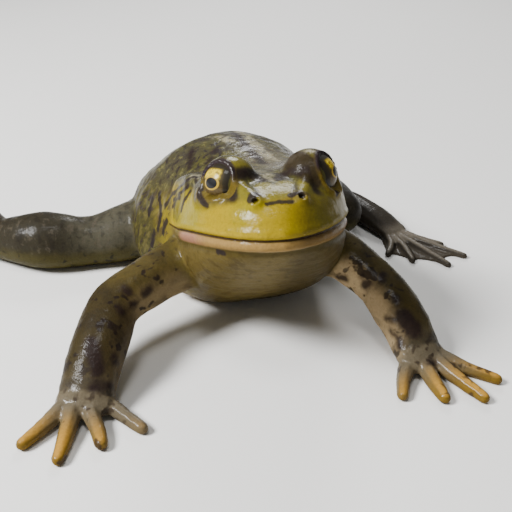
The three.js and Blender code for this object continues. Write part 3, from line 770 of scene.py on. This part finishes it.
# From the lowest layer up: colour, how strong it lies, and the fields and windows that bound it.
SKIN_LAYERS = [
    ("#3d3927", 1.0, ()),
    ("#423f18", 0.8, ("some_cloud",)),
    ("#2a2223", 0.6, ("some_blotch",)),
    ("#221a1d", 0.85, ("some_mottles",)),
    ("#6a6538", 0.55, ("pale_mottles",)),
    ("#6a654d", 0.6, ("near_spine", "some_flecks")),
    # A lighter crown: partly paler skin, partly a painted highlight.
    ("#6b624f", 0.55, ("crown_sheen",)),
    ("#3b3718", 0.85, ("flank",)),
    ("#2a2122", 0.9, ("flank", "some_streaks")),
    ("#5e552c", 0.5, ("flank", "pale_streaks")),
    ("#7c6c0e", 0.8, ("nape_side",)),
    ("#2b2220", 0.85, ("nape_side", "some_streaks")),
    ("#8f7a06", 1.0, ("face",)),
    ("#76700a", 0.6, ("face", "some_cloud")),
    ("#a88f26", 0.5, ("face", "upper_rim")),
    ("#6c6312", 0.35, ("face", "some_flecks")),
    # Painted shade over the left side of the face.
    ("#3b3514", 0.66, ("face", "left_jaw_shade")),
    ("#5a4d27", 1.0, ("throat",)),
    ("#3f3214", 0.5, ("throat", "some_spots")),
    ("#796746", 1.0, ("belly",)),
    ("#544935", 0.7, ("belly", "some_spots")),
    # Painted shade over the left side of the throat.
    ("#241d10", 0.6, ("throat", "left_jaw_shade")),
    # Painted shade in the crease below the lower lip.
    ("#3d3414", 0.6, ("throat", "shade_under_lip", "lip_edge")),
    ("#8a6e3d", 1.0, ("throat", "lip", "below_lip", "above_lip")),
    ("#8f6155", 0.7, ("throat", "lip", "below_lip", "above_lip", "lip_end")),
    # Painted shade over the left side of the lips.
    ("#3d2e18", 0.6, ("left_jaw_shade", "below_lip", "above_lip")),
    ("#43391b", 1.0, ("arms",)),
    # Tan inner side of the arms, faint on the right arm as painted shade.
    ("#b59c74", 0.95, ("inner_arm",)),
    ("#241d10", 0.7, ("forearms",)),
    ("#1c1712", 0.45, ("arms", "some_blotch")),
    ("#1a1210", 0.85, ("arms", "few_spots")),
    ("#2b271d", 1.0, ("legs",)),
    # Painted light: the right thigh is made lighter near the body.
    ("#494639", 0.8, ("thigh_root_light",)),
    ("#1e1a16", 0.45, ("legs", "some_blotch")),
    ("#1b1713", 0.45, ("legs", "some_mottles")),
    ("#4c453a", 0.45, ("legs", "pale_mottles")),
    ("#3f391b", 1.0, ("low_side",)),
    ("#1c190f", 0.85, ("low_side", "few_spots")),
    # The left leg darker than the right: partly painted shade, partly its own darker tone.
    ("#1c1916", 0.8, ("shaded_left_leg",)),
    ("#5d5443", 1.0, ("hand",)),
    ("#6c5318", 1.0, ("fingers",)),
    # Painted highlight along the upper side of the fingers.
    ("#b88935", 0.75, ("fingers", "lit_finger_tops")),
    ("#2c221a", 0.8, ("hand", "few_spots")),
    # Painted shade in the crease of the wrist.
    ("#252019", 0.5, ("wrist_crease_shade",)),
    ("#2e2922", 1.0, ("foot",)),
    ("#3e382f", 1.0, ("web",)),
    # Painted highlight along the upper ridges of the toes.
    ("#756d60", 0.6, ("lit_toe_ridges",)),
    ("#5a5014", 0.7, ("ear_disc",)),
    ("#322a16", 0.5, ("ear_rim_out", "ear_rim_in")),
    ("#6d6416", 0.8, ("green_mark_in",)),
    # Pale marks, some of them painted highlights.
    ("#a39a7c", 0.6, ("pale_and_highlight_in", "broken_line")),
    # Soft dark marks; those before the eyes and on the left eye's mound are painted shade.
    ("#201615", 0.9, ("shadow_mark_in",)),
    ("#5f4f12", 0.7, ("near_lid",)),
    ("#211a1a", 0.92, ("dark_mark_in",)),
    ("#1e1520", 0.9, ("near_lid", "lid_top")),
    ("#2a1810", 0.9, ("over_line", "under_line", "face_any")),
]

# Dull under the film: the skin itself reflects little, and lets a trace of light through.
SKIN_FINISH = {
    "IOR": 1.3,
    "Specular IOR Level": 0.15,
    "Coat Roughness": 0.14,
    "Coat IOR": 1.33,
    "Subsurface Weight": 0.05,
    "Subsurface Radius": (0.0012, 0.0006, 0.0003),
}
SKIN_BUMP = 0.5  # height of its finest grain


def layered_colour(tree, layers, values):
    """Lays the layers over each other and returns the colour on top."""
    colour = linear(layers[0][0])
    for code, share, bounds in layers[1:]:
        for name in bounds:
            share = put(tree, "ShaderNodeMath", {
                0: values[name], 1: share}, operation="MULTIPLY").outputs[0]
        colour = put(tree, "ShaderNodeMix", {
            "Factor": share, "A": colour, "B": linear(code)}, data_type="RGBA").outputs["Result"]
    return colour


def add_windows(tree, windows, values):
    """Adds each window to the values, as a share from 0 to 1."""
    for name, (source, wobble, pattern, low, high) in windows.items():
        value = values[source]
        if wobble:
            value = put(tree, "ShaderNodeMath", {
                0: values[pattern], 1: wobble, 2: value}, operation="MULTIPLY_ADD").outputs[0]
            low += wobble / 2
            high += wobble / 2
        values[name] = put(tree, "ShaderNodeMapRange", {
            "Value": value, "From Min": low, "From Max": high},
            interpolation_type="SMOOTHSTEP").outputs[0]


def new_material(name, finish):
    """A material, its node tree and its shader with the settings of a finish."""
    material = bpy.data.materials.new(name)
    material.use_nodes = True
    shader = material.node_tree.nodes["Principled BSDF"]
    for key, value in finish.items():
        shader.inputs[key].default_value = value
    return material, material.node_tree, shader


def wet_frog_skin(fields):
    """Moist skin: dull and grainy underneath, with a thin clear film that catches the light."""
    material, tree, shader = new_material("wet_frog_skin", SKIN_FINISH)
    place = put(tree, "ShaderNodeTexCoord", {}).outputs["Object"]
    place = put(tree, "ShaderNodeVectorMath", {0: place, "Scale": 1 / MM}, operation="SCALE").outputs[0]
    values = {}
    for name in fields:
        values[name] = put(tree, "ShaderNodeAttribute", {}, attribute_name=name).outputs["Fac"]
    for name, (size, detail, stretch, rough, warp) in SKIN_PATTERNS.items():
        spot = put(tree, "ShaderNodeMapping", {
            "Vector": place, "Rotation": (math.radians(MARKS_LEAN), 0, 0), "Scale": stretch},
            vector_type="TEXTURE").outputs[0]
        values[name] = put(tree, "ShaderNodeTexNoise", {
            "Vector": spot, "Scale": 1 / size, "Detail": detail,
            "Roughness": rough, "Distortion": warp}).outputs["Fac"]
    add_windows(tree, SKIN_WINDOWS, values)

    # The grain makes the colour a little lighter and darker from point to point.
    colour = layered_colour(tree, SKIN_LAYERS, values)
    shade = put(tree, "ShaderNodeMapRange", {
        "Value": values["speck"], "From Min": 0.2, "From Max": 0.8,
        "To Min": 0.84, "To Max": 1.14}).outputs[0]
    colour = put(tree, "ShaderNodeHueSaturation", {"Color": colour, "Value": shade}).outputs[0]
    tree.links.new(colour, shader.inputs["Base Color"])

    relief = put(tree, "ShaderNodeMath", {
        0: values["speck"], 1: 0.35, 2: values["fleck"]}, operation="MULTIPLY_ADD").outputs[0]
    bump = put(tree, "ShaderNodeBump", {
        "Height": relief, "Strength": 0.4, "Distance": SKIN_BUMP * MM}).outputs[0]
    tree.links.new(bump, shader.inputs["Normal"])
    tree.links.new(bump, shader.inputs["Coat Normal"])
    rough = put(tree, "ShaderNodeMapRange", {
        "Value": values["fleck"], "To Min": 0.46, "To Max": 0.66}).outputs[0]
    tree.links.new(rough, shader.inputs["Roughness"])

    # The film is thickest on what faces up, and breaks up in patches.
    film = put(tree, "ShaderNodeMath", {
        0: values["wet_patches"], 1: 0.6, 2: 0.55}, operation="MULTIPLY_ADD").outputs[0]
    film = put(tree, "ShaderNodeMath", {
        0: film, 1: values["wet_film"]}, operation="MULTIPLY").outputs[0]
    tree.links.new(film, shader.inputs["Coat Weight"])
    return material


# Bounds of the colours of the iris, in millimetres from the middle of the pupil: x runs
# forwards along the head and y up. "oval" is 1 at the edge of the pupil.
EYE_WINDOWS = {
    "upper": ("y", 0.8, "veins", 0.9, 2.0),
    "not_far_up": ("y", 0, "veins", 5.2, 4.4),
    "middle": ("x", 0.8, "veins", 3.6, 2.4),
    "lower": ("y", 0.8, "veins", 0.2, -1.2),
    "some_veins": ("veins", 0, "veins", 0.48, 0.6),
    "front": ("x", 0.5, "veins", 3.8, 4.4),
    "front_edge": ("x", 0.5, "veins", 5.5, 5.9),
    "outer": ("radius", 0.8, "veins", 4.4, 5.6),
    "ring": ("oval", 0, "veins", 1.36, 1.22),
    "pupil": ("oval", 0, "veins", 1.04, 0.97),
}
EYE_LAYERS = [
    ("#352c0c", 1.0, ()),
    ("#50401c", 0.9, ("lower",)),
    ("#cdb012", 1.0, ("upper", "not_far_up", "middle")),
    ("#3a2a0c", 0.65, ("some_veins",)),
    ("#1f1a0d", 0.85, ("front",)),
    ("#1a150b", 0.85, ("outer",)),
    ("#4a4617", 0.8, ("front_edge",)),
    ("#a98a24", 0.95, ("ring",)),
    ("#04050a", 1.0, ("pupil",)),
]
EYE_FINISH = {
    "Roughness": 0.6,
    "Specular IOR Level": 0.2,
    "Coat Weight": 0.4,
    "Coat Roughness": 0.03,
    "Coat IOR": 1.38,
}


def wet_frog_eye():
    """A wet eye: black pupil, thin gold ring, and a bronze iris with dark veins. The dull iris
    lies under a clear smooth coat, which gives the sharp glint."""
    material, tree, shader = new_material("wet_frog_eye", EYE_FINISH)
    spot = put(tree, "ShaderNodeUVMap", {}, uv_map="iris").outputs[0]
    flat = put(tree, "ShaderNodeVectorMath", {
        0: spot, 1: (0.5, 0.5, 0)}, operation="SUBTRACT").outputs[0]
    flat = put(tree, "ShaderNodeVectorMath", {
        0: flat, "Scale": IRIS_MAP}, operation="SCALE").outputs[0]
    wide = put(tree, "ShaderNodeVectorMath", {
        0: flat, 1: (1 / PUPIL_HALF_WIDTH, 1 / PUPIL_HALF_HEIGHT, 0)},
        operation="MULTIPLY").outputs[0]
    parts = put(tree, "ShaderNodeSeparateXYZ", {0: flat})
    values = {
        "x": parts.outputs["X"],
        "y": parts.outputs["Y"],
        "oval": put(tree, "ShaderNodeVectorMath", {0: wide}, operation="LENGTH").outputs["Value"],
        "radius": put(tree, "ShaderNodeVectorMath", {0: flat}, operation="LENGTH").outputs["Value"],
        "veins": put(tree, "ShaderNodeTexNoise", {
            "Vector": flat, "Scale": 0.9, "Detail": 5.0,
            "Roughness": 0.65, "Distortion": 1.2}).outputs["Fac"],
    }
    add_windows(tree, EYE_WINDOWS, values)
    tree.links.new(layered_colour(tree, EYE_LAYERS, values), shader.inputs["Base Color"])
    return material


def make_eye(side, finish):
    """The eyeball, with its clear bulge over the iris, looking a little forward and up."""
    bpy.ops.object.select_all(action="DESELECT")
    bpy.ops.mesh.primitive_uv_sphere_add(segments=64, ring_count=40, radius=EYE_RADIUS * MM)
    eye = bpy.context.object
    eye.name = "eyeball_" + side
    points = read_points(eye)
    from_axis = np.degrees(np.arccos(np.clip(points[:, 2] / EYE_RADIUS, -1, 1)))
    points *= (1 + CORNEA_RISE * hump(from_axis, CORNEA_ANGLE))[:, None]
    write_points(eye, points)
    layer = eye.data.uv_layers.new(name="iris")
    corner = np.empty(len(eye.data.loops), int)
    eye.data.loops.foreach_get("vertex_index", corner)
    flat = points[corner][:, :2] * (-SIDES[side], 1) / IRIS_MAP + 0.5
    layer.data.foreach_set("uv", flat.ravel())
    gaze = side_frame(EYE_AT[side], side, GAZE_YAW[side], GAZE_TILT)
    eye.data.transform(scaled_place(gaze))
    bpy.ops.object.shade_smooth()
    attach(eye, "root")
    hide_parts("eye_" + side)
    eye.data.materials.append(finish)


skin = make_skin()
sculpt(skin)
thin_out(skin)
fields = map_skin(skin)
pick_only(skin)
bpy.ops.object.shade_smooth()
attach(skin, "root")
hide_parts(*FLESH)
skin.data.materials.append(wet_frog_skin(fields))
eye_finish = wet_frog_eye()
for side in SIDES:
    make_eye(side, eye_finish)

# ---- Floor, light and camera ----------------------------------------------------------------

FLOOR_SIZE = 6  # metres

# Softboxes in metres and watts: place, what it points at, width and power.
SOFTBOXES = {
    "key_light": ((-0.72, -0.06, 0.72), (0, -0.03, 0.02), 0.3, 22),
    "back_light": ((0.36, 0.7, 0.62), (0, -0.03, 0.04), 0.3, 4.5),
    "top_light": ((-0.15, -0.22, 1.0), (0, -0.06, 0.04), 0.25, 2.5),
}
ROOM_LIGHT = 0.2

CAMERA_AT = (-90.2, -299.5, 170)
CAMERA_LOOKS = (0.2991, 0.8219, -0.4848)
PICTURE_WIDTH = 512  # pixels
FOCAL_LENGTH = 775  # pixels
SENSOR_WIDTH = 36


def matt_paper():
    """Matt paper: pale and even, with no shine of its own."""
    return new_material("matt_paper", {"Base Color": linear("#f0efec"), "Roughness": 0.9})[0]


def lay_floor():
    bpy.ops.object.select_all(action="DESELECT")
    bpy.ops.mesh.primitive_plane_add(size=FLOOR_SIZE, location=(0, 0, 0))
    floor = bpy.context.object
    floor.name = "floor"
    floor.data.materials.append(matt_paper())


def light_room():
    world = bpy.data.worlds.new("studio")
    bpy.context.scene.world = world
    world.use_nodes = True
    world.node_tree.nodes["Background"].inputs["Color"].default_value = linear("#f4f4f2")
    world.node_tree.nodes["Background"].inputs["Strength"].default_value = ROOM_LIGHT


def add_softbox(name, place, aim, size, power):
    light = bpy.data.lights.new(name, "AREA")
    light.size = size
    light.energy = power
    lamp = bpy.data.objects.new(name, light)
    bpy.context.scene.collection.objects.link(lamp)
    lamp.location = place
    lamp.rotation_euler = (Vector(aim) - Vector(place)).to_track_quat("-Z", "Y").to_euler()


def add_camera():
    lens = bpy.data.cameras.new("camera")
    lens.sensor_width = SENSOR_WIDTH
    lens.lens = FOCAL_LENGTH / PICTURE_WIDTH * SENSOR_WIDTH
    lens.clip_start = 0.01
    camera = bpy.data.objects.new("camera", lens)
    bpy.context.scene.collection.objects.link(camera)
    camera.location = Vector(CAMERA_AT) * MM
    camera.rotation_euler = Vector(CAMERA_LOOKS).to_track_quat("-Z", "Y").to_euler()
    bpy.context.scene.camera = camera


lay_floor()
light_room()
for name, softbox in SOFTBOXES.items():
    add_softbox(name, *softbox)
add_camera()
